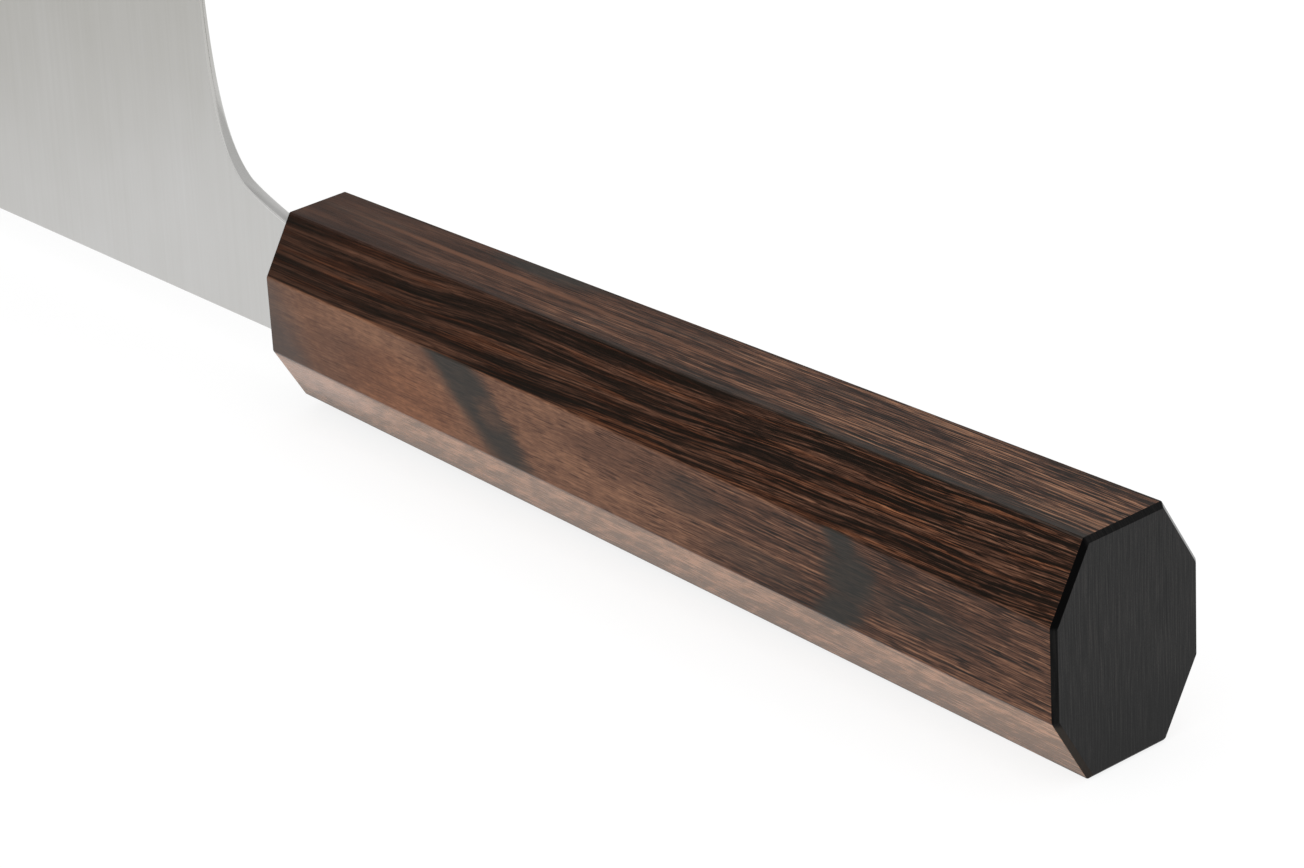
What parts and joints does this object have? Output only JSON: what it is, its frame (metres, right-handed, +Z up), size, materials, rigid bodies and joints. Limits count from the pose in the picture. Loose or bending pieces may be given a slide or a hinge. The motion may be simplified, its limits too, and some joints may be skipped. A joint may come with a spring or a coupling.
{
  "type": "nakiri knife",
  "caption": "Nakiri vegetable knife with a tall flat-ground steel blade, curved heel and a tapered octagonal laminated-wood handle on a hidden tang.",
  "frame": {"origin": "on the floor plane under the middle of the overall length, in the blade's middle plane", "axes": "+X along the handle towards the butt, +Y across the blade towards its far side, +Z up towards the cutting edge, so the spine is down as in the picture"},
  "size_m": [0.3084, 0.0202, 0.0561],
  "materials": {
    "steel": "fine satin, ground flat",
    "wood": "dark brown and black laminated wood, satin",
    "adhesive": "cured adhesive"
  },
  "bodies": {
    "root": {"blade": "steel", "handle": "wood", "tang_adhesive": "adhesive"}
  },
  "joints": []
}
